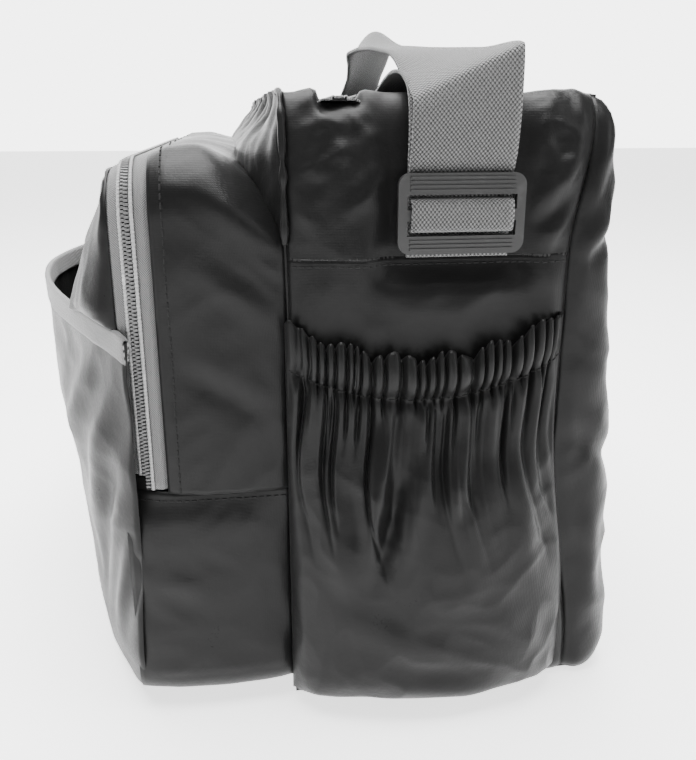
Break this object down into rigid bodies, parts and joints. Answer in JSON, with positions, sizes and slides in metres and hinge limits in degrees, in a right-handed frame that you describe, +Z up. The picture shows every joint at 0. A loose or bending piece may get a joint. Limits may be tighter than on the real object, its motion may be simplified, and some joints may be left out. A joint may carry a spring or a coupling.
{
  "type": "shoulder bag",
  "caption": "Soft box-shaped shoulder bag: zipped top, zipped front pocket that folds down, slip pocket, elastic side pockets and a webbing strap with a slide adjuster.",
  "frame": {"origin": "on the floor, under the middle of the main compartment", "axes": "+Z up, the front with its pockets faces -Y, the long side runs along X"},
  "size_m": [0.372, 0.254, 0.2905],
  "materials": {
    "shell_fabric": "coated nylon cloth, dark grey, slight sheen",
    "lining_fabric": "thin plain woven lining",
    "webbing": "ribbed woven webbing, light grey",
    "binding": "woven binding tape, light grey",
    "zip_tape": "knitted zip tape",
    "zip_coil": "nylon coil",
    "elastic": "braided elastic",
    "moulded_plastic": "moulded black plastic, fine grain",
    "slider_metal": "dark painted die-cast metal",
    "board": "stiff plastic sheet"
  },
  "bodies": {
    "bag": {"base_panel": "shell_fabric", "base_board": "board", "back_panel": "shell_fabric", "main_front_panel": "shell_fabric", "side_upper_right": "shell_fabric", "side_upper_left": "shell_fabric", "side_lower_right": "shell_fabric", "side_lower_left": "shell_fabric", "main_lining": "lining_fabric", "side_pocket_right": "shell_fabric", "side_pocket_left": "shell_fabric", "pocket_elastic_right": "elastic", "pocket_elastic_left": "elastic", "top_end_right": "shell_fabric", "top_end_left": "shell_fabric", "top_zip_end_right": "zip_coil", "top_zip_end_left": "zip_coil", "pocket_gusset": "shell_fabric", "pocket_lower_band": "shell_fabric", "front_panel_lower": "shell_fabric", "slip_pocket_lower": "shell_fabric", "gusset_zip_tape": "zip_tape", "gusset_zip_coil": "zip_coil", "strap_anchor": "webbing", "shoulder_strap": "webbing"},
    "top_front": {"top_front_strip": "shell_fabric", "top_front_tape": "zip_tape", "top_front_coil": "zip_coil"},
    "top_rear": {"top_rear_strip": "shell_fabric", "top_rear_tape": "zip_tape", "top_rear_coil": "zip_coil"},
    "front_flap": {"flap_panel": "shell_fabric", "slip_pocket_upper": "shell_fabric", "slip_binding": "binding", "flap_zip_tape": "zip_tape", "flap_zip_coil": "zip_coil"},
    "adjuster": {"strap_adjuster": "moulded_plastic", "strap_bight": "webbing"},
    "front_slider": {"front_slider": "slider_metal"},
    "front_pull": {"front_pull": "slider_metal"},
    "main_slider": {"main_slider": "slider_metal"},
    "main_pull": {"main_pull": "slider_metal"}
  },
  "joints": [
    {"name": "front_fold", "type": "hinge", "parent": "bag", "child": "front_flap", "pos_m": [0, -0.158, 0.104], "axis": [1, 0, 0], "range_deg": [0, 60]},
    {"name": "top_front_fold", "type": "hinge", "parent": "bag", "child": "top_front", "pos_m": [0, -0.0623, 0.246], "axis": [-1, 0, 0], "range_deg": [0, 70]},
    {"name": "top_rear_fold", "type": "hinge", "parent": "bag", "child": "top_rear", "pos_m": [0, 0.0623, 0.246], "axis": [1, 0, 0], "range_deg": [0, 70]},
    {"name": "front_slider_slide", "type": "slide", "parent": "bag", "child": "front_slider", "axis": [0, 0, 1], "range_m": [0, 0.094]},
    {"name": "front_pull_swing", "type": "hinge", "parent": "front_slider", "child": "front_pull", "pos_m": [-0.161, -0.1215, 0.1065], "axis": [0, 1, 0], "range_deg": [0, 170]},
    {"name": "main_slider_slide", "type": "slide", "parent": "bag", "child": "main_slider", "axis": [1, 0, 0], "range_m": [0, 0.299]},
    {"name": "main_pull_swing", "type": "hinge", "parent": "main_slider", "child": "main_pull", "pos_m": [-0.1495, -0.045, 0.2506], "axis": [0, -1, 0], "range_deg": [0, 170]},
    {"name": "adjuster_slide", "type": "slide", "parent": "bag", "child": "adjuster", "axis": [0, 0, 1], "range_m": [0, 0.025]}
  ]
}
